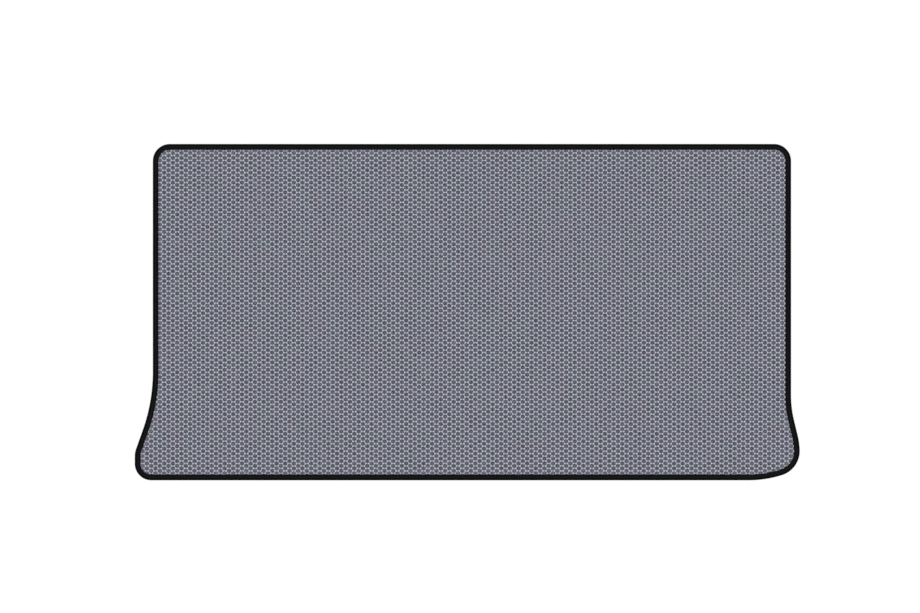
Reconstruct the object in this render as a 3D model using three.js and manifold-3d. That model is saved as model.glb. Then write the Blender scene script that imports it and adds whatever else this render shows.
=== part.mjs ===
// Boot liner: one moulded foam sheet with honeycomb pockets, its edge bound with a folded and sewn tape
// Millimetres, +Z up. The origin is on the boot floor, under the middle of the liner.
// +X is the right-hand side seen from above, with the straight front edge at +Y and the sill edge at -Y.

import * as THREE from "three";
import { mergeGeometries, mergeVertices } from "three/addons/utils/BufferGeometryUtils.js";
import Module from "manifold-3d";

// The outline: the straight sides lie against the wheel arches, and a lobe flares out behind each arch
const archToArch = 1052.4;
const frontToSill = 554.2;
const frontCornerRadius = 27.6;

const leftReach = 29.8;
const leftSweep = THREE.MathUtils.degToRad(19.6);
const leftHollowRadius = 290;
const leftShoulderRadius = 36.9;
const leftLip = 12;
const leftCornerRadius = 27.1;

const rightReach = 14.3;
const rightSweep = THREE.MathUtils.degToRad(13.6);
const rightHollowRadius = 174.5;
const rightShoulderRadius = 131;
const rightShoulderEnd = THREE.MathUtils.degToRad(2.8);
const rightCornerRadius = 41.7;
const rightCornerEnd = THREE.MathUtils.degToRad(72.8);
const rightTailRadius = 187.3;

// The foam sheet, and the hem that the tape squeezes
const sheetThickness = 10;
const shoulderWidth = 2.4;
const hemThickness = 6;

// The tape, folded round the hem
const tapeWidth = 9;
const tapeThickness = 0.9;
const tapeFoldRadius = 3.2;
const tapeFit = 0.3;

// The row of stitches: a line of thread on each side, drawn into the tape
const threadWidth = 0.8;
const threadHeight = 0.4;
const threadFromTapeEdge = 2.4;
const threadFit = 0.15;

// The honeycomb: each pocket stands for a patch of small cells of the same form
const cellPitch = 43.7;
const cellWall = 6.5;
const cellDepth = 8;
const cellDraft = 1.2;
const fieldMargin = 3;
const smallestPocketShare = 0.12;
const pocketSides = 6;

// How far a cutting body runs past the face that it cuts
const cutOver = 1;

// How far a chord may fall inside the arc that it stands for, and steps round the tape's fold
const chordHeight = 0.2;
const foldSteps = 2;

const quarterTurn = Math.PI / 2;
const bindingHeight = hemThickness + 2 * (tapeThickness + tapeFit);
const hemBottom = tapeThickness + tapeFit;
const coreInset = tapeWidth + tapeFit;

const wasm = await Module();
wasm.setup();

// The edge is a chain of straights and arcs that flow into one another, walked with the liner on the left.
// A left turn is positive. An inset shrinks the left-hand arcs and grows the right-hand ones.
const straight = (length) => ({ length });
const arc = (radius, turn) => ({ radius, turn });

function arcStepCount({ radius, turn }) {
  const step = 2 * Math.acos(1 - chordHeight / radius);
  return Math.max(2, Math.ceil(Math.abs(turn) / step));
}

function walk(chain, start, startHeading, inset = 0) {
  const points = [start.clone()];
  let heading = startHeading;
  for (const link of chain) {
    const from = points.at(-1);
    if (link.turn === undefined) {
      const along = new THREE.Vector2(Math.cos(heading), Math.sin(heading));
      points.push(from.clone().addScaledVector(along, link.length));
      continue;
    }
    const side = Math.sign(link.turn);
    const radius = link.radius - side * inset;
    const toCentre = new THREE.Vector2(-Math.sin(heading), Math.cos(heading)).multiplyScalar(side * radius);
    const centre = from.clone().add(toCentre);
    const steps = arcStepCount(link);
    for (let step = 1; step <= steps; step += 1) {
      const turned = (link.turn * step) / steps;
      const spoke = toCentre.clone().negate().rotateAround(new THREE.Vector2(), turned);
      points.push(centre.clone().add(spoke));
    }
    heading += link.turn;
  }
  return points;
}

function reachOf(chain, startHeading) {
  return walk(chain, new THREE.Vector2(), startHeading).at(-1);
}

// The right-hand lobe, from the sill edge up to the straight side
function rightLobe() {
  const hollowReach = rightHollowRadius * (1 - Math.cos(rightSweep));
  const shoulderReach = rightShoulderRadius * (Math.cos(rightShoulderEnd) - Math.cos(rightSweep));
  const cornerReach = rightCornerRadius * (1 - Math.cos(rightShoulderEnd));
  const slope = (rightReach - hollowReach - shoulderReach - cornerReach) / Math.sin(rightSweep);
  return [
    arc(rightTailRadius, quarterTurn - rightCornerEnd),
    arc(rightCornerRadius, rightCornerEnd + rightShoulderEnd),
    arc(rightShoulderRadius, rightSweep - rightShoulderEnd),
    straight(slope),
    arc(rightHollowRadius, -rightSweep),
  ];
}

// The left-hand lobe, from the straight side down to the sill edge
function leftLobe() {
  const arcReach = (leftHollowRadius + leftShoulderRadius) * (1 - Math.cos(leftSweep));
  const slope = (leftReach - arcReach) / Math.sin(leftSweep);
  return [
    arc(leftHollowRadius, -leftSweep),
    straight(slope),
    arc(leftShoulderRadius, leftSweep),
    straight(leftLip),
    arc(leftCornerRadius, quarterTurn),
  ];
}

// The whole edge, from the left end of the sill edge round to the same point
function edgeChain() {
  const right = rightLobe();
  const left = leftLobe();
  const rightEnd = reachOf(right, 0);
  const leftEnd = reachOf(left, -quarterTurn);
  return [
    straight(archToArch - rightEnd.x - leftEnd.x),
    ...right,
    straight(frontToSill - frontCornerRadius - rightEnd.y),
    arc(frontCornerRadius, quarterTurn),
    straight(archToArch - 2 * frontCornerRadius),
    arc(frontCornerRadius, quarterTurn),
    straight(frontToSill - frontCornerRadius + leftEnd.y),
    ...left,
  ];
}

const edge = edgeChain();
const edgeStart = new THREE.Vector2(
  (leftReach - rightReach) / 2 - archToArch / 2 + reachOf(leftLobe(), -quarterTurn).x,
  -frontToSill / 2,
);

// A ring of points all round the liner, so far in from its edge, with as many points at every inset
function edgeRing(inset) {
  const start = edgeStart.clone().add(new THREE.Vector2(0, inset));
  const points = walk(edge, start, 0, inset);
  points.pop();
  return points;
}

// A section, given as inset and height, swept right round the edge.
// A closed section makes a ring. An open one goes from the underside to the top, and a flat face closes each end.
function sweepRound(section, closed) {
  const rings = section.map(([inset]) => edgeRing(inset));
  const count = rings[0].length;
  const positions = rings.flatMap((ring, row) => ring.flatMap((point) => [point.x, point.y, section[row][1]]));
  const triangles = [];
  const rows = closed ? section.length : section.length - 1;
  for (let row = 0; row < rows; row += 1) {
    const lower = row * count;
    const upper = ((row + 1) % section.length) * count;
    for (let at = 0; at < count; at += 1) {
      const next = (at + 1) % count;
      triangles.push(lower + at, lower + next, upper + next);
      triangles.push(lower + at, upper + next, upper + at);
    }
  }
  if (!closed) {
    const top = (section.length - 1) * count;
    for (const [a, b, c] of THREE.ShapeUtils.triangulateShape(rings[0], [])) {
      triangles.push(a, c, b);
    }
    for (const [a, b, c] of THREE.ShapeUtils.triangulateShape(rings.at(-1), [])) {
      triangles.push(top + a, top + b, top + c);
    }
  }
  const geometry = new THREE.BufferGeometry();
  geometry.setAttribute("position", new THREE.Float32BufferAttribute(positions, 3));
  geometry.setIndex(triangles);
  return geometry;
}

// Closed geometry to a solid that can be cut, and back
function toSolid(geometry) {
  const bare = geometry.clone();
  bare.deleteAttribute("normal");
  bare.deleteAttribute("uv");
  const merged = mergeVertices(bare);
  const vertProperties = Float32Array.from(merged.attributes.position.array);
  const triVerts = Uint32Array.from(merged.index.array);
  return new wasm.Manifold(new wasm.Mesh({ numProp: 3, vertProperties, triVerts }));
}

function toGeometry(solid) {
  const { vertProperties, triVerts } = solid.getMesh();
  const geometry = new THREE.BufferGeometry();
  geometry.setAttribute("position", new THREE.Float32BufferAttribute(vertProperties, 3));
  geometry.setIndex(Array.from(triVerts));
  return geometry;
}

// One honeycomb pocket, with two of its six sides square to the liner's length and its floor a little smaller
function pocketGeometry(x, y) {
  const cornerRadius = (acrossFlats) => acrossFlats / Math.sqrt(3);
  const openingRadius = cornerRadius(cellPitch - cellWall);
  const floorRadius = cornerRadius(cellPitch - cellWall - 2 * cellDraft);
  const widening = (openingRadius - floorRadius) / cellDepth;
  const height = cellDepth + cutOver;
  const mouthRadius = openingRadius + widening * cutOver;
  const pocket = new THREE.CylinderGeometry(mouthRadius, floorRadius, height, pocketSides);
  pocket.rotateX(quarterTurn);
  pocket.rotateZ(Math.PI / pocketSides);
  pocket.translate(x, y, sheetThickness - cellDepth + height / 2);
  return pocket;
}

// Columns of pockets across the whole liner, every other column half a pitch along
function pocketPattern() {
  const columnStep = (cellPitch * Math.sqrt(3)) / 2;
  const columnReach = Math.ceil((archToArch / 2 + Math.max(leftReach, rightReach)) / columnStep);
  const rowReach = Math.ceil(frontToSill / 2 / cellPitch);
  const pockets = [];
  for (let column = -columnReach; column <= columnReach; column += 1) {
    const shift = column % 2 === 0 ? 0 : cellPitch / 2;
    for (let row = -rowReach; row <= rowReach; row += 1) {
      pockets.push(pocketGeometry(column * columnStep, row * cellPitch + shift));
    }
  }
  return toSolid(mergeGeometries(pockets));
}

// The pockets stop at a margin inside the shoulder, and the thinnest slices of pocket there are left out
function pocketsInField() {
  const fieldInset = coreInset + shoulderWidth + fieldMargin;
  const field = toSolid(sweepRound([[fieldInset, -cutOver], [fieldInset, sheetThickness + 2 * cutOver]], false));
  const wholePocket = toSolid(pocketGeometry(0, 0)).intersect(field);
  const smallest = smallestPocketShare * wholePocket.volume();
  return pocketPattern().intersect(field).decompose().filter((pocket) => pocket.volume() > smallest);
}

// The round of the tape's fold at a depth under its outer face, from the lower leg up to the upper one.
// Both bends keep their centres at every depth, so the fold's outside, its inside and the hem stay parallel.
function foldRound(depth) {
  const radius = tapeFoldRadius - depth;
  const points = [];
  for (const [centreHeight, startAngle] of [[tapeFoldRadius, -quarterTurn], [bindingHeight - tapeFoldRadius, 0]]) {
    for (let step = 0; step <= foldSteps; step += 1) {
      const angle = startAngle + (quarterTurn * step) / foldSteps;
      points.push([tapeFoldRadius - radius * Math.cos(angle), centreHeight + radius * Math.sin(angle)]);
    }
  }
  return points;
}

// The sheet: full thickness inside, a shoulder down to the tape, and a thin hem inside the fold
function foamSheet() {
  const blank = sweepRound([
    [coreInset, 0],
    [coreInset, hemBottom],
    ...foldRound(hemBottom),
    [coreInset, bindingHeight - hemBottom],
    [coreInset, bindingHeight],
    [coreInset + shoulderWidth, sheetThickness],
  ], false);
  return toGeometry(pocketsInField().reduce((sheet, pocket) => sheet.subtract(pocket), toSolid(blank)));
}

// The stitches draw into a groove across each leg of the tape
const threadInset = tapeWidth - threadFromTapeEdge;
const grooveHalfWidth = threadWidth / 2 + threadFit;

// The tape: a strip folded round the hem, rounded where it folds
function edgeTape() {
  const grooveFloor = bindingHeight - threadHeight;
  const topLeg = [
    [threadInset - grooveHalfWidth, bindingHeight],
    [threadInset - grooveHalfWidth, grooveFloor],
    [threadInset + grooveHalfWidth, grooveFloor],
    [threadInset + grooveHalfWidth, bindingHeight],
    [tapeWidth, bindingHeight],
    [tapeWidth, bindingHeight - tapeThickness],
  ];
  const bottomLeg = topLeg.map(([inset, height]) => [inset, bindingHeight - height]).reverse();
  return sweepRound([...foldRound(0), ...topLeg, ...foldRound(tapeThickness).reverse(), ...bottomLeg], true);
}

// A line of thread in its groove, from one height to another
function threadLine(bottom, top) {
  const outer = threadInset - threadWidth / 2;
  const inner = threadInset + threadWidth / 2;
  return sweepRound([[outer, bottom], [outer, top], [inner, top], [inner, bottom]], true);
}

const foamFinish = new THREE.MeshStandardMaterial({ color: 0x8e909c, roughness: 0.85, metalness: 0 });
const tapeFinish = new THREE.MeshStandardMaterial({ color: 0x1a1a1c, roughness: 0.95, metalness: 0 });
const threadFinish = new THREE.MeshStandardMaterial({ color: 0x151517, roughness: 0.8, metalness: 0 });

function namedMesh(name, geometry, material) {
  const flat = geometry.toNonIndexed();
  flat.computeVertexNormals();
  const mesh = new THREE.Mesh(flat, material);
  mesh.name = name;
  return mesh;
}

const liner = new THREE.Group();
liner.add(namedMesh("foam_sheet", foamSheet(), foamFinish));
liner.add(namedMesh("edge_tape", edgeTape(), tapeFinish));
liner.add(namedMesh("needle_thread", threadLine(bindingHeight - threadHeight, bindingHeight), threadFinish));
liner.add(namedMesh("bobbin_thread", threadLine(0, threadHeight), threadFinish.clone()));

export default liner;
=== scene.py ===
# Boot liner: a moulded honeycomb foam sheet, its edge bound with a folded and sewn tape.
# Shapes are worked out in millimetres in the CAD model's frame, and become metres as each mesh is made.
# +X is the right-hand side seen from above, with the straight front edge at +Y and the sill edge at -Y.

import math

import bmesh
import bpy
import numpy as np
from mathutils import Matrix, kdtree


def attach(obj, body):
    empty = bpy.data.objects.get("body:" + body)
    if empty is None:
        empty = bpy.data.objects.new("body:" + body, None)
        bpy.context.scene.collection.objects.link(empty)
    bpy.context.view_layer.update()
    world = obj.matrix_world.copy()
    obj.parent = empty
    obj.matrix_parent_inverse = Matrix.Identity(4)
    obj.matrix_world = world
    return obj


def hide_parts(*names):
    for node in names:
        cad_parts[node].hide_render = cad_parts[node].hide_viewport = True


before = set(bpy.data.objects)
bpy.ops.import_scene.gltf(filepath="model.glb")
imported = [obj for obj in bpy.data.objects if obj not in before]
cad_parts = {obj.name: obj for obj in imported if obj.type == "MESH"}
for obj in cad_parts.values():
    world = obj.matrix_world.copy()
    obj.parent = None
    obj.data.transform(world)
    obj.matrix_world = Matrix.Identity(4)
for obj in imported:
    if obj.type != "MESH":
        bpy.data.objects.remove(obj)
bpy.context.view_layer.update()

METRE = 1000.0

# The outline: the straight sides lie against the wheel arches, and a lobe flares out behind each arch
ARCH_TO_ARCH = 1052.4
FRONT_TO_SILL = 554.2
FRONT_CORNER_RADIUS = 27.6

LEFT_REACH = 29.8
LEFT_SWEEP = math.radians(19.6)
LEFT_HOLLOW_RADIUS = 290.0
LEFT_SHOULDER_RADIUS = 36.9
LEFT_LIP = 12.0
LEFT_CORNER_RADIUS = 27.1

RIGHT_REACH = 14.3
RIGHT_SWEEP = math.radians(13.6)
RIGHT_HOLLOW_RADIUS = 174.5
RIGHT_SHOULDER_RADIUS = 131.0
RIGHT_SHOULDER_END = math.radians(2.8)
RIGHT_CORNER_RADIUS = 41.7
RIGHT_CORNER_END = math.radians(72.8)
RIGHT_TAIL_RADIUS = 187.3

# The foam sheet, and the hem that the tape squeezes
SHEET_THICKNESS = 10.0
HEM_THICKNESS = 6.0
HEM_OVERLAP = 0.3

# The cells at their real size, and where one cell's centre lies
CELL_COLUMN_STEP = 7.130
CELL_ROW_STEP = 8.131
CELL_CENTRE = (6.18, -1.69)
CELL_DEPTH = 8.0
CELL_DRAFT_ACROSS = 0.2
CELL_DRAFT_DOWN = 1.4
CELL_CUT_INSET = 8.2
CELL_FLOOR = SHEET_THICKNESS - CELL_DEPTH

# The tape squeezes the foam beside it, so crests come down and floors come up over a short way
CREST_AT_TAPE = 7.35
FLOOR_AT_TAPE = 3.0
SQUEEZE_WIDTH = 5.0

# Edges bent more than this are sharp, and points closer than a sliver become one
SHARP_CREST = math.radians(68)
SLIVER = 0.02

# The tape, folded round the hem. It swells at the fold, and on top to each side of the stitches.
TAPE_WIDTH = 9.0
TAPE_THICKNESS = 0.9
TAPE_FOLD_RADIUS = 3.2
TAPE_FIT = 0.3
TAPE_LIP = 0.2
TAPE_CROWN = 0.35
TAPE_EDGE_CROWN = 0.1
TAPE_BULGE = 0.4
FOLD_STEPS = 4
INNER_FOLD_STEPS = 2

# The tape's unevenness: a share of its crown, a wander of its inner edge, and their waves in one round
CROWN_UNEVENNESS = 0.3
TAPE_WANDER = 0.12
WANDER_TURNS = (17, 43, 101, 213)

# The row of stitches, and the groove that they draw into the tape
STITCH_INSET = 6.6
STITCH_LENGTH = 3.5
STITCH_SHARE = 0.88
STITCH_WIDTH = 0.62
STITCH_HEIGHT = 0.4
STITCH_SLANT = 0.12
STITCH_TAPER = 0.86
STITCH_RINGS = 7
STITCH_SIDES = 6
NEEDLE_SINK = 0.15
NEEDLE_ARCH = 0.35
BOBBIN_RISE = 0.02
BOBBIN_ARCH = 0.2
GROOVE_DEPTH = 0.45
GROOVE_WIDTH = 0.6
NEEDLE_DIP = 0.2
SAMPLES_PER_STITCH = 3

# Where the upper leg has its points: on its crown, across the groove, and on the lip inside the stitches
CROWN_INSETS = (4.0, 4.7, 5.3)
GROOVE_INSETS = tuple(STITCH_INSET + step for step in (-0.7, -0.35, 0.0, 0.35, 0.7))
LIP_INSETS = (7.8, 8.3, 8.8)

# Heights and an inset that follow from these
BINDING_HEIGHT = HEM_THICKNESS + 2 * (TAPE_THICKNESS + TAPE_FIT)
HEM_BOTTOM = TAPE_THICKNESS + TAPE_FIT
CORE_INSET = TAPE_WIDTH + TAPE_FIT

# Colours are linear. The inside of the foam's cells is painted darker than its crests, blending to the crest
# colour between two heights: painted shade in the recesses.
WHITE = (1.0, 1.0, 1.0)
FOAM_COLOUR = (0.512, 0.522, 0.599)
PAINTED_CELL_SHADE = 0.88
PAINTED_SHADE_HEIGHTS = (5.0, 7.3)
TAPE_COLOUR = (0.0108, 0.0114, 0.0116)
# The tape below its crown is painted darker than its crown: painted shade, with a painted sheen on the crown
TAPE_PAINTED_SHADE = 0.25
THREAD_COLOUR = (0.004, 0.004, 0.0045)

# The foam's tint wanders faintly between a rosier and a greener grey
ROSY_TINT = (1.0, 0.965, 1.0)
GREEN_TINT = (0.965, 1.0, 0.98)

# The shares of a colour between which noise moves it
PATCH_SHADES = (0.983, 1.017)
SPECK_SHADES = (0.85, 1.15)
MOTTLE_SHADES = (0.87, 1.0)
TAPE_SHADES = (0.85, 1.15)
THREAD_SHADES = (0.85, 1.2)

# How far noise goes to each side of a half before a colour has moved all the way
FOAM_SPREAD = 0.15
MOTTLE_SPREAD = 0.1
TEXTILE_SPREAD = 0.2

# The sizes of what the materials show: a patch is a change of shade, and the finest is relief
FOAM_TINT_PATCH = 32.0
FOAM_PATCH = 60.0
FOAM_SPECK = 6.0
FOAM_MOTTLE = 2.4
FOAM_GRAIN = 0.5
FOAM_GRAIN_DEPTH = 0.1
TAPE_FUZZ = 2.0
TAPE_RIB = 0.9
TAPE_YARN = 0.45
TAPE_WEAVE_DEPTH = 0.08
THREAD_FIBRE = 0.3
THREAD_FIBRE_DEPTH = 0.05

# The share of the plan left free round the top and the underside in the sheet's surface coordinates
PLAN_MARGIN = 0.005

# The wave texture's period at a scale of 1
WAVE_PERIOD = 2 * math.pi / 20

# The camera looks straight down, without perspective, a little off the liner's middle
VIEW_WIDTH = 1518.0
VIEW_CENTRE = (-11.98, 9.32)
CAMERA_HEIGHT = 3000.0
CAMERA_REACH = 50000.0
FLOOR_SIZE = 30000.0
FLOOR_DROP = 0.3

# The floor's own share of its paleness. The rest, up to just over white, is only what the camera sees.
FLOOR_COLOUR = 0.12
FLOOR_SHOWN = 1.03


# The edge is a chain of straights and arcs that flow into one another, walked with the liner on the left.
# A link is its length and its turn to the left. An inset shortens each link by its turn times the inset.
def straight(length):
    return length, 0.0


def arc(radius, turn):
    return radius * abs(turn), turn


def follow(link, begin, heading, distance):
    """Where a walk along a link has got to after each distance, and its heading there."""
    length, turn = link
    now = heading + turn * distance / length
    if turn:
        across = np.stack([np.sin(now) - math.sin(heading), math.cos(heading) - np.cos(now)], axis=-1)
        return begin + across * (length / turn), now
    ahead = np.array([math.cos(heading), math.sin(heading)])
    return begin + np.multiply.outer(distance, ahead), now


def reach_of(chain, heading):
    place = np.zeros(2)
    for link in chain:
        place, heading = follow(link, place, heading, link[0])
    return place


def right_lobe():
    """The right-hand lobe, from the sill edge up to the straight side."""
    hollow_reach = RIGHT_HOLLOW_RADIUS * (1 - math.cos(RIGHT_SWEEP))
    shoulder_reach = RIGHT_SHOULDER_RADIUS * (math.cos(RIGHT_SHOULDER_END) - math.cos(RIGHT_SWEEP))
    corner_reach = RIGHT_CORNER_RADIUS * (1 - math.cos(RIGHT_SHOULDER_END))
    slope = (RIGHT_REACH - hollow_reach - shoulder_reach - corner_reach) / math.sin(RIGHT_SWEEP)
    return [
        arc(RIGHT_TAIL_RADIUS, math.pi / 2 - RIGHT_CORNER_END),
        arc(RIGHT_CORNER_RADIUS, RIGHT_CORNER_END + RIGHT_SHOULDER_END),
        arc(RIGHT_SHOULDER_RADIUS, RIGHT_SWEEP - RIGHT_SHOULDER_END),
        straight(slope),
        arc(RIGHT_HOLLOW_RADIUS, -RIGHT_SWEEP),
    ]


def left_lobe():
    """The left-hand lobe, from the straight side down to the sill edge."""
    arc_reach = (LEFT_HOLLOW_RADIUS + LEFT_SHOULDER_RADIUS) * (1 - math.cos(LEFT_SWEEP))
    slope = (LEFT_REACH - arc_reach) / math.sin(LEFT_SWEEP)
    return [
        arc(LEFT_HOLLOW_RADIUS, -LEFT_SWEEP),
        straight(slope),
        arc(LEFT_SHOULDER_RADIUS, LEFT_SWEEP),
        straight(LEFT_LIP),
        arc(LEFT_CORNER_RADIUS, math.pi / 2),
    ]


def edge_chain():
    """The whole edge, from the left end of the sill edge round to the same point, and that point."""
    right_end = reach_of(right_lobe(), 0.0)
    left_end = reach_of(left_lobe(), -math.pi / 2)
    chain = [
        straight(ARCH_TO_ARCH - right_end[0] - left_end[0]),
        *right_lobe(),
        straight(FRONT_TO_SILL - FRONT_CORNER_RADIUS - right_end[1]),
        arc(FRONT_CORNER_RADIUS, math.pi / 2),
        straight(ARCH_TO_ARCH - 2 * FRONT_CORNER_RADIUS),
        arc(FRONT_CORNER_RADIUS, math.pi / 2),
        straight(FRONT_TO_SILL - FRONT_CORNER_RADIUS + left_end[1]),
        *left_lobe(),
    ]
    start_x = (LEFT_REACH - RIGHT_REACH) / 2 - ARCH_TO_ARCH / 2 + left_end[0]
    return chain, np.array([start_x, -FRONT_TO_SILL / 2])


class StitchLine:
    """Evenly spaced points along the line of stitches, from which any other line round the edge is offset."""

    def __init__(self):
        chain, start = edge_chain()
        inset_chain = [(length - turn * STITCH_INSET, turn) for length, turn in chain]
        self.length = sum(length for length, _ in inset_chain)
        self.stitches = round(self.length / STITCH_LENGTH)
        self.chain = inset_chain
        self.start = start + (0.0, STITCH_INSET)

    def at(self, distances):
        """Places on the line and the directions there that point into the liner."""
        places = np.empty((len(distances), 2))
        headings = np.empty(len(distances))
        begin, heading, done = self.start, 0.0, 0.0
        for link in self.chain:
            here = (distances >= done) & (distances < done + link[0])
            places[here], headings[here] = follow(link, begin, heading, distances[here] - done)
            begin, heading = follow(link, begin, heading, link[0])
            done += link[0]
        return places, np.stack([-np.sin(headings), np.cos(headings)], axis=-1)

    def samples(self, per_stitch):
        count = self.stitches * per_stitch
        return np.arange(count) * self.length / count

    def arc_samples(self, spacing):
        """Distances for a plain outline, close together on the arcs, with each straight in one piece."""
        distances, done = [], 0.0
        for length, turn in self.chain:
            steps = math.ceil(length / spacing) if turn else 1
            distances += [done + length * step / steps for step in range(steps)]
            done += length
        return np.array(distances)

    def ring(self, distances, inset):
        """The line at an inset from the edge, which may differ from sample to sample."""
        places, inward = self.at(distances)
        return places + inward * np.reshape(inset - STITCH_INSET, (-1, 1))


line = StitchLine()


# Meshes
def mesh_object(name, vertices, faces, material=None, smooth=False):
    mesh = bpy.data.meshes.new(name)
    mesh.from_pydata(np.asarray(vertices) / METRE, [], [list(map(int, face)) for face in faces])
    mesh.update()
    mesh.polygons.foreach_set("use_smooth", [smooth] * len(mesh.polygons))
    if material:
        mesh.materials.append(material)
    thing = bpy.data.objects.new(name, mesh)
    bpy.context.scene.collection.objects.link(thing)
    return thing


def grid_faces(rows, count, wrap_rows):
    """Quads between rows of points that each close on themselves."""
    at = np.arange(count)
    after = (at + 1) % count
    faces = []
    for row in range(rows if wrap_rows else rows - 1):
        lower = row * count
        upper = ((row + 1) % rows) * count
        faces.append(np.stack([lower + at, lower + after, upper + after, upper + at], axis=1))
    return np.concatenate(faces)


def swept_round(section, closed, distances):
    """A section of insets and heights taken round the edge. An open one gets a flat face at each end."""
    points = []
    for inset, height in section:
        ring = line.ring(distances, np.full(len(distances), inset))
        points.append(np.column_stack([ring, np.full(len(ring), height)]))
    faces = list(grid_faces(len(section), len(distances), closed))
    if not closed:
        count = len(distances)
        faces.append(np.arange(count)[::-1])
        faces.append(np.arange(count) + (len(section) - 1) * count)
    return np.concatenate(points), faces


def combine(thing, other, operation):
    """Cuts or joins one closed mesh with another, and removes the other."""
    modifier = thing.modifiers.new("combine", "BOOLEAN")
    modifier.operation = operation
    modifier.solver = "MANIFOLD"
    modifier.object = other
    evaluated = thing.evaluated_get(bpy.context.evaluated_depsgraph_get())
    result = bpy.data.meshes.new_from_object(evaluated)
    old = thing.data
    thing.modifiers.clear()
    thing.data = result
    bpy.data.meshes.remove(old)
    bpy.data.objects.remove(other)


def merge_slivers(mesh):
    """Joins the points that the cuts leave almost on top of one another."""
    work = bmesh.new()
    work.from_mesh(mesh)
    bmesh.ops.remove_doubles(work, verts=work.verts, dist=SLIVER / METRE)
    bmesh.ops.dissolve_degenerate(work, edges=work.edges, dist=SLIVER / METRE)
    work.to_mesh(mesh)
    work.free()


# The round of the tape's fold at a depth under its outer face, from the lower leg up to the upper one
def fold_round(depth, steps):
    radius = TAPE_FOLD_RADIUS - depth
    points = []
    for centre_height, start in ((TAPE_FOLD_RADIUS, -math.pi / 2), (BINDING_HEIGHT - TAPE_FOLD_RADIUS, 0.0)):
        for step in range(steps + 1):
            angle = start + math.pi / 2 * step / steps
            inset = TAPE_FOLD_RADIUS - radius * math.cos(angle)
            points.append((inset, centre_height + radius * math.sin(angle)))
    return points


# The foam
def smooth_step(share):
    """0 up to 0 and 1 from 1 on, with a soft start and end between them."""
    share = np.clip(share, 0.0, 1.0)
    return share * share * (3 - 2 * share)


def clear_of_tape(places):
    """0 for a place beside the tape, 1 for one out of its squeeze, and a share for one between."""
    distances = line.samples(SAMPLES_PER_STITCH)
    edge = line.ring(distances, np.full(len(distances), CORE_INSET))
    tree = kdtree.KDTree(len(edge))
    for index, (x, y) in enumerate(edge):
        tree.insert((x, y, 0.0), index)
    tree.balance()
    inward = np.array([tree.find((x, y, 0.0))[2] for x, y in places])
    return smooth_step(inward / SQUEEZE_WIDTH)


def raised(places, at_tape, clear):
    """Points over the places, at one height beside the tape and at another out of its squeeze."""
    return np.column_stack([places, at_tape + (clear - at_tape) * clear_of_tape(places)])


# The cells are laid out on a whole-number grid of half columns and quarter rows.
# A cell's corners are given anticlockwise. Each lies halfway along a wall, and the next cell shares it.
GRID_STEP = np.array([CELL_COLUMN_STEP / 2, CELL_ROW_STEP / 4])
CELL_CORNERS = np.array([[1, -1], [1, 1], [0, 2], [-1, 1], [-1, -1], [0, -2]])


def on_sheet(grid_places):
    return np.array(CELL_CENTRE) + grid_places * GRID_STEP


def cell_centres():
    """The grid places of all the cells in a rectangle a little larger than the liner."""
    half_length = ARCH_TO_ARCH / 2 + max(LEFT_REACH, RIGHT_REACH)
    column_reach = math.ceil(half_length / CELL_COLUMN_STEP)
    row_reach = math.ceil(FRONT_TO_SILL / 2 / CELL_ROW_STEP) + 1
    columns = np.arange(-column_reach, column_reach + 1)
    rows = np.arange(-row_reach, row_reach + 1)
    column, row = np.meshgrid(columns, rows, indexing="ij")
    return np.stack([2 * column.ravel(), (4 * row + 2 * (column % 2)).ravel()], axis=1)


def honeycomb_block():
    """A slab with the cells in its top, larger than the liner and reaching under its underside."""
    centres = cell_centres()
    count = len(centres)
    openings = (centres[:, None] + CELL_CORNERS).reshape(-1, 2)
    far_corners = (centres[:, None] + CELL_CORNERS + np.roll(CELL_CORNERS, -1, axis=0)).reshape(-1, 2)
    crests, crest_of = np.unique(np.concatenate([openings, far_corners]), axis=0, return_inverse=True)
    opening_at, far_at = crest_of.reshape(2, count, 6)
    floor_at = (len(crests) + np.arange(6 * count)).reshape(count, 6)
    next_opening = np.roll(opening_at, -1, axis=1)
    next_floor = np.roll(floor_at, -1, axis=1)

    islands = np.stack([opening_at, far_at, next_opening], axis=2).reshape(-1, 3)
    _, first = np.unique(np.sort(islands, axis=1), axis=0, return_index=True)
    walls = np.stack([opening_at, next_opening, next_floor, floor_at], axis=2).reshape(-1, 4)
    top_faces = [*floor_at, *walls, *islands[first]]

    floor_share = 1 - np.array([CELL_DRAFT_ACROSS / CELL_COLUMN_STEP, CELL_DRAFT_DOWN / CELL_ROW_STEP]) * 2
    floors = (centres[:, None] + CELL_CORNERS * floor_share).reshape(-1, 2)
    crest_points = raised(on_sheet(crests), CREST_AT_TAPE, SHEET_THICKNESS)
    floor_points = raised(on_sheet(floors), FLOOR_AT_TAPE, CELL_FLOOR)
    return closed_below(np.concatenate([crest_points, floor_points]), top_faces, -SHEET_THICKNESS)


def closed_below(top, top_faces, bottom_height):
    """Closes an open upper surface with a flat copy of itself and walls round its rim."""
    bottom = top.copy()
    bottom[:, 2] = bottom_height
    count = len(top)
    edges = set()
    for face in top_faces:
        for start, end in zip(face, np.roll(face, -1)):
            edges.add((int(start), int(end)))
    rim = [(start, end) for start, end in edges if (end, start) not in edges]
    skirt = [(end, start, start + count, end + count) for start, end in rim]
    bottom_faces = [np.asarray(face)[::-1] + count for face in top_faces]
    return np.concatenate([top, bottom]), [*top_faces, *bottom_faces, *skirt]


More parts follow.
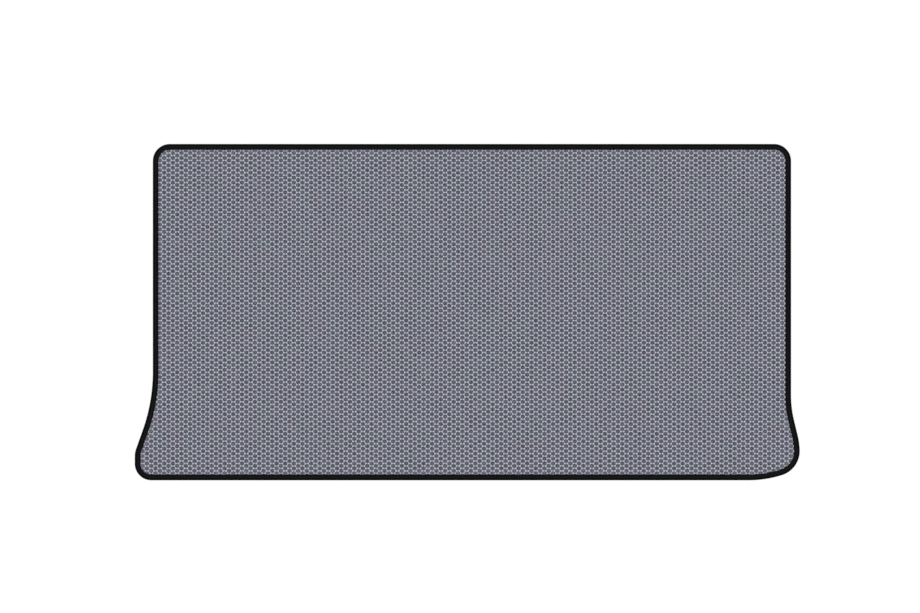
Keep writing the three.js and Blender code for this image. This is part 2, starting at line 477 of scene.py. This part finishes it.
def foam_sheet(material):
    """The cells cut to the liner's outline just under the tape's edge, with the plain hem round them."""
    distances = line.arc_samples(STITCH_LENGTH)
    core = [(CORE_INSET, 0.0), (CORE_INSET, HEM_BOTTOM), (CELL_CUT_INSET, HEM_BOTTOM)]
    core.append((CELL_CUT_INSET, SHEET_THICKNESS + HEM_BOTTOM))
    hem_inset = CELL_CUT_INSET + HEM_OVERLAP
    fold = fold_round(HEM_BOTTOM, FOLD_STEPS)
    hem = [(hem_inset, HEM_BOTTOM), *fold, (hem_inset, BINDING_HEIGHT - HEM_BOTTOM)]
    sheet = mesh_object("honeycomb_sheet", *honeycomb_block(), material)
    combine(sheet, mesh_object("core", *swept_round(core, False, distances)), "INTERSECT")
    combine(sheet, mesh_object("hem", *swept_round(hem, True, distances)), "UNION")
    merge_slivers(sheet.data)
    sheet.data.polygons.foreach_set("use_smooth", [True] * len(sheet.data.polygons))
    sheet.data.set_sharp_from_angle(angle=SHARP_CREST)
    return sheet


def lay_flat(mesh):
    """A plan of the sheet for its surface: the top fills one half, and the underside the other."""
    layer = mesh.uv_layers.new(name="OFBake")
    count = len(mesh.loops)
    vertex_of = np.empty(count, dtype=np.int32)
    mesh.loops.foreach_get("vertex_index", vertex_of)
    places = np.empty(3 * len(mesh.vertices))
    mesh.vertices.foreach_get("co", places)
    places = places.reshape(-1, 3)[vertex_of]
    facing = np.empty(3 * len(mesh.polygons))
    mesh.polygons.foreach_get("normal", facing)
    sizes = np.empty(len(mesh.polygons), dtype=np.int32)
    mesh.polygons.foreach_get("loop_total", sizes)
    below = np.repeat(facing.reshape(-1, 3)[:, 2] < -0.5, sizes)
    low, high = places.min(axis=0), places.max(axis=0)
    plan = (places[:, :2] - low[:2]) / (high[:2] - low[:2])
    plan[:, 1] = PLAN_MARGIN + (0.5 - 2 * PLAN_MARGIN) * plan[:, 1] + 0.5 * below
    layer.data.foreach_set("uv", plan.ravel())


# The tape
def slow_wander(distances, seed):
    """A gentle unevenness along the edge, between -1 and 1, that meets itself at the end."""
    random = np.random.default_rng(seed)
    total = np.zeros(len(distances))
    for turns in WANDER_TURNS:
        total += np.sin(2 * math.pi * (turns * distances / line.length + random.random()))
    return total / len(WANDER_TURNS)


def needle_pull(distances):
    """How far each place shares in the pull of the nearest needle hole: 1 at a hole."""
    phase = distances * line.stitches / line.length
    return 0.5 + 0.5 * np.cos(2 * math.pi * phase)


def tape_crown(inset, unevenness):
    """How far the upper leg stands over its plain level: it swells to each side of the stitches."""
    if inset <= STITCH_INSET:
        crown, share = TAPE_CROWN, inset / STITCH_INSET
    else:
        crown, share = TAPE_EDGE_CROWN, (inset - STITCH_INSET) / (TAPE_WIDTH - STITCH_INSET)
    return crown * math.sin(math.pi * share) * (1 + CROWN_UNEVENNESS * unevenness)


def groove(inset):
    """How far an inset shares in the groove along the stitches: 1 at its bottom."""
    return math.exp(-(((inset - STITCH_INSET) / GROOVE_WIDTH) ** 2))


def tape_section():
    """The tape's section as inset, height and what the point belongs to, with the outside first."""
    section = [(inset, height, "fold") for inset, height in fold_round(0.0, FOLD_STEPS)]
    section += [(inset, BINDING_HEIGHT, "upper") for inset in (*CROWN_INSETS, *GROOVE_INSETS, *LIP_INSETS)]
    section += [(TAPE_WIDTH, BINDING_HEIGHT - TAPE_LIP, "upper edge")]
    section += [(TAPE_WIDTH, BINDING_HEIGHT - TAPE_THICKNESS, "upper edge")]
    inside = fold_round(TAPE_THICKNESS, INNER_FOLD_STEPS)
    section += [(inset, height, "inside") for inset, height in reversed(inside)]
    section += [(TAPE_WIDTH, TAPE_THICKNESS, "lower edge"), (TAPE_WIDTH, 0.0, "lower edge")]
    section += [(inset, 0.0, "lower") for inset in reversed(GROOVE_INSETS)]
    return section


def edge_binding(material):
    distances = line.samples(SAMPLES_PER_STITCH)
    pull = needle_pull(distances)
    crown_unevenness = slow_wander(distances, 5)
    edge_unevenness = slow_wander(distances, 8)
    points = []
    for inset, height, belongs in tape_section():
        insets = np.full(len(distances), inset)
        heights = np.full(len(distances), height)
        if belongs == "fold":
            insets -= TAPE_BULGE * math.sin(math.pi * height / BINDING_HEIGHT)
        if belongs == "upper":
            heights += tape_crown(inset, crown_unevenness)
            heights -= groove(inset) * (GROOVE_DEPTH + NEEDLE_DIP * pull)
        if belongs == "upper edge":
            insets += TAPE_WANDER * edge_unevenness
        if belongs == "lower":
            heights += groove(inset) * GROOVE_DEPTH
        points.append(np.column_stack([line.ring(distances, insets), heights]))
    faces = grid_faces(len(points), len(distances), True)
    tape = mesh_object("edge_binding", np.concatenate(points), faces, material, smooth=True)
    lay_along(tape.data, len(points), len(distances), tape_section())
    return tape


def lay_along(mesh, rows, count, section):
    """Surface coordinates in metres: the first along the tape, the second across it."""
    across = [0.0]
    for before, after in zip(section, [*section[1:], section[0]]):
        across.append(across[-1] + math.dist(before[:2], after[:2]))
    layer = mesh.uv_layers.new(name="cloth")
    step = line.length / count
    at, row = np.meshgrid(np.arange(count), np.arange(rows))
    at, row = at.ravel(), row.ravel()
    across = np.array(across)
    corners = [(at, row), (at + 1, row), (at + 1, row + 1), (at, row + 1)]
    places = [np.stack([along * step, across[over]], axis=1) for along, over in corners]
    layer.data.foreach_set("uv", (np.stack(places, axis=1) / METRE).ravel())


# The stitches
def stitch_row(name, material, height_at_middle, arch):
    """A row of short threads that dive into the tape at both ends. A negative arch is for the underside."""
    pitch = line.length / line.stitches
    middles = (np.arange(line.stitches) + 0.5) * pitch
    along = np.sin(np.linspace(-math.pi / 2, math.pi / 2, STITCH_RINGS))
    thickness = np.sqrt(1 - STITCH_TAPER * along ** 4)
    side = np.arange(STITCH_SIDES)
    angles = side * 2 * math.pi / STITCH_SIDES
    points = []
    for share, size in zip(along, thickness):
        distances = middles + share * pitch * STITCH_SHARE / 2
        level = height_at_middle - arch * share ** 2
        for angle in angles:
            sideways = STITCH_SLANT * share + STITCH_WIDTH / 2 * size * math.cos(angle)
            heights = np.full(len(middles), level + STITCH_HEIGHT / 2 * size * math.sin(angle))
            place = line.ring(distances, np.full(len(middles), STITCH_INSET + sideways))
            points.append(np.column_stack([place, heights]))
    vertices = np.stack(points, axis=1).reshape(-1, 3)
    each = list(grid_faces(STITCH_RINGS, STITCH_SIDES, False))
    each += [side[::-1], side + (STITCH_RINGS - 1) * STITCH_SIDES]
    count = STITCH_RINGS * STITCH_SIDES
    faces = [face + number * count for number in range(line.stitches) for face in each]
    return mesh_object(name, vertices, faces, material, smooth=True)


# Materials
def scaled(colour, share=1.0):
    return tuple(part * share for part in colour) + (1.0,)


class Finish:
    """A material put together from nodes round one shader."""

    def __init__(self, name, colour, roughness, specular):
        self.material = bpy.data.materials.new(name)
        self.material.use_nodes = True
        self.nodes = self.material.node_tree.nodes
        self.links = self.material.node_tree.links
        self.shader = self.nodes["Principled BSDF"]
        self.shader.inputs["Base Color"].default_value = scaled(colour)
        self.shader.inputs["Roughness"].default_value = roughness
        self.shader.inputs["Specular IOR Level"].default_value = specular
        self.place = self.nodes.new("ShaderNodeTexCoord").outputs["Object"]

    def noise(self, period, detail):
        """Noise whose features are about a period apart, in millimetres."""
        texture = self.nodes.new("ShaderNodeTexNoise")
        texture.inputs["Scale"].default_value = METRE / period
        texture.inputs["Detail"].default_value = detail
        self.links.new(self.place, texture.inputs["Vector"])
        return texture.outputs["Fac"]

    def ribs(self, surface, direction, period):
        """Even ribs that are a period apart, in millimetres."""
        texture = self.nodes.new("ShaderNodeTexWave")
        texture.bands_direction = direction
        texture.inputs["Scale"].default_value = WAVE_PERIOD * METRE / period
        self.links.new(surface, texture.inputs["Vector"])
        return texture.outputs["Fac"]

    def total(self, one, other):
        both = self.nodes.new("ShaderNodeMath")
        both.operation = "ADD"
        self.links.new(one, both.inputs[0])
        self.links.new(other, both.inputs[1])
        return both.outputs[0]

    def by_height(self, low_height, high_height):
        """0 at and under one height of the object and 1 at and over another, in millimetres."""
        split = self.nodes.new("ShaderNodeSeparateXYZ")
        self.links.new(self.place, split.inputs[0])
        share = self.nodes.new("ShaderNodeMapRange")
        share.inputs["From Min"].default_value = low_height / METRE
        share.inputs["From Max"].default_value = high_height / METRE
        self.links.new(split.outputs["Z"], share.inputs["Value"])
        return share.outputs["Result"]

    def ramp(self, source, low, high, spread):
        """A colour that goes from low to high as noise passes a half."""
        ramp = self.nodes.new("ShaderNodeValToRGB")
        first, last = ramp.color_ramp.elements
        first.position, first.color = 0.5 - spread, low
        last.position, last.color = 0.5 + spread, high
        self.links.new(source, ramp.inputs["Fac"])
        return ramp.outputs["Color"]

    def shades(self, source, colour, shares, spread):
        """One colour in shades that go from a first share of it to a second."""
        return self.ramp(source, scaled(colour, shares[0]), scaled(colour, shares[1]), spread)

    def mixed(self, share, low, high):
        """A colour between low, which is a plain colour or another node's, and another node's."""
        mix = self.nodes.new("ShaderNodeMix")
        mix.data_type = "RGBA"
        self.links.new(share, mix.inputs["Factor"])
        if isinstance(low, tuple):
            mix.inputs[6].default_value = low
        else:
            self.links.new(low, mix.inputs[6])
        self.links.new(high, mix.inputs[7])
        return mix.outputs[2]

    def multiplied(self, colour, tint):
        mix = self.nodes.new("ShaderNodeMix")
        mix.data_type = "RGBA"
        mix.blend_type = "MULTIPLY"
        mix.inputs["Factor"].default_value = 1.0
        self.links.new(colour, mix.inputs[6])
        self.links.new(tint, mix.inputs[7])
        return mix.outputs[2]

    def done(self, colour, height, depth):
        """The material with its colour, and with a fine relief of the given depth in millimetres."""
        self.links.new(colour, self.shader.inputs["Base Color"])
        relief = self.nodes.new("ShaderNodeBump")
        relief.inputs["Strength"].default_value = 1.0
        relief.inputs["Distance"].default_value = depth / METRE
        self.links.new(height, relief.inputs["Height"])
        self.links.new(relief.outputs["Normal"], self.shader.inputs["Normal"])
        return self.material


def foam_material():
    """Closed-cell foam: matt, slightly mottled, with a fine grain, and painted shade that darkens its cells
    below the crests.
    """
    foam = Finish("moulded_foam", FOAM_COLOUR, roughness=0.9, specular=0.15)
    # Painted shade: the inside of the cells is darker than the crests and the underside, blending to the
    # crest colour up the walls
    inside = tuple(part * PAINTED_CELL_SHADE for part in FOAM_COLOUR)
    crest = foam.shades(foam.noise(FOAM_PATCH, 6.0), FOAM_COLOUR, PATCH_SHADES, FOAM_SPREAD)
    cell = foam.shades(foam.noise(FOAM_SPECK, 2.0), inside, SPECK_SHADES, FOAM_SPREAD)
    lower = foam.mixed(foam.by_height(0.0, CELL_FLOOR), crest, cell)
    plain = foam.mixed(foam.by_height(*PAINTED_SHADE_HEIGHTS), lower, crest)
    tint = foam.ramp(foam.noise(FOAM_TINT_PATCH, 2.0), scaled(ROSY_TINT), scaled(GREEN_TINT), FOAM_SPREAD)
    mottle = foam.shades(foam.noise(FOAM_MOTTLE, 4.0), WHITE, MOTTLE_SHADES, MOTTLE_SPREAD)
    colour = foam.multiplied(foam.multiplied(plain, tint), mottle)
    return foam.done(colour, foam.noise(FOAM_GRAIN, 4.0), FOAM_GRAIN_DEPTH)


def tape_material():
    """Woven tape: ribs across it with finer yarns along it. Its crown has a painted sheen, and its sides and
    underside are painted darker as painted shade.
    """
    tape = Finish("woven_tape", TAPE_COLOUR, roughness=0.9, specular=0.06)
    cloth = tape.nodes.new("ShaderNodeUVMap")
    cloth.uv_map = "cloth"
    surface = cloth.outputs["UV"]
    weave = tape.total(tape.ribs(surface, "X", TAPE_RIB), tape.ribs(surface, "Y", TAPE_YARN))
    crown = tape.shades(tape.noise(TAPE_FUZZ, 4.0), TAPE_COLOUR, TAPE_SHADES, TEXTILE_SPREAD)
    # Painted sheen and shade: full colour on the crown, a quarter of it on the fold, the sides and the
    # underside
    painted_sheen_share = tape.by_height(BINDING_HEIGHT, BINDING_HEIGHT + TAPE_CROWN)
    return tape.done(tape.mixed(painted_sheen_share, scaled(TAPE_COLOUR, TAPE_PAINTED_SHADE), crown), weave, TAPE_WEAVE_DEPTH)


def thread_material():
    """Spun thread, slightly glossier than the tape."""
    thread = Finish("spun_thread", THREAD_COLOUR, roughness=0.6, specular=0.35)
    fibres = thread.noise(THREAD_FIBRE, 3.0)
    colour = thread.shades(fibres, THREAD_COLOUR, THREAD_SHADES, TEXTILE_SPREAD)
    return thread.done(colour, fibres, THREAD_FIBRE_DEPTH)


# The studio
def seen_directly(nodes, links):
    """1 for a ray that shows the background to the camera, itself or in gloss or glass."""
    path = nodes.new("ShaderNodeLightPath")
    total = path.outputs["Is Camera Ray"]
    for name in ("Is Glossy Ray", "Is Transmission Ray"):
        either = nodes.new("ShaderNodeMath")
        either.operation = "MAXIMUM"
        links.new(total, either.inputs[0])
        links.new(path.outputs[name], either.inputs[1])
        total = either.outputs[0]
    return total


def soft_dome():
    """Even white light from all round, at which a level surface shows its own colour."""
    world = bpy.data.worlds.new("soft_dome")
    world.use_nodes = True
    light = world.node_tree.nodes["Background"]
    light.inputs["Color"].default_value = scaled(WHITE)
    light.inputs["Strength"].default_value = 1.0
    bpy.context.scene.world = world


def studio_floor():
    """A pale floor that the camera sees as white, with a faint shadow round the liner's edge."""
    half = FLOOR_SIZE / 2
    corners = [(-half, -half), (half, -half), (half, half), (-half, half)]
    material = bpy.data.materials.new("pale_floor")
    material.use_nodes = True
    nodes, links = material.node_tree.nodes, material.node_tree.links
    nodes.remove(nodes["Principled BSDF"])
    matt = nodes.new("ShaderNodeBsdfDiffuse")
    matt.inputs["Color"].default_value = scaled(WHITE, FLOOR_COLOUR)
    white = nodes.new("ShaderNodeEmission")
    white.inputs["Color"].default_value = scaled(WHITE, FLOOR_SHOWN - FLOOR_COLOUR)
    links.new(seen_directly(nodes, links), white.inputs["Strength"])
    both = nodes.new("ShaderNodeAddShader")
    links.new(matt.outputs[0], both.inputs[0])
    links.new(white.outputs[0], both.inputs[1])
    links.new(both.outputs[0], nodes["Material Output"].inputs["Surface"])
    floor = mesh_object("floor", [(x, y, -FLOOR_DROP) for x, y in corners], [(0, 1, 2, 3)], material)


def camera_above():
    data = bpy.data.cameras.new("camera")
    data.type = "ORTHO"
    data.ortho_scale = VIEW_WIDTH / METRE
    data.clip_end = CAMERA_REACH / METRE
    camera = bpy.data.objects.new("camera", data)
    camera.location = (VIEW_CENTRE[0] / METRE, VIEW_CENTRE[1] / METRE, CAMERA_HEIGHT / METRE)
    bpy.context.scene.collection.objects.link(camera)
    bpy.context.scene.camera = camera


camera_above()
soft_dome()
studio_floor()
bpy.context.scene.view_settings.view_transform = "Standard"

sheet = foam_sheet(foam_material())
lay_flat(sheet.data)
tape = edge_binding(tape_material())
thread = thread_material()
needle = stitch_row("needle_stitches", thread, BINDING_HEIGHT - NEEDLE_SINK, NEEDLE_ARCH)
bobbin = stitch_row("bobbin_stitches", thread, STITCH_HEIGHT / 2 + BOBBIN_RISE, -BOBBIN_ARCH)

for piece, node, slot in (
    (sheet, "foam_sheet", "foam"),
    (tape, "edge_tape", "tape"),
    (needle, "needle_thread", "thread"),
    (bobbin, "bobbin_thread", "thread"),
):
    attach(piece, "root")
    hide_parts(node)
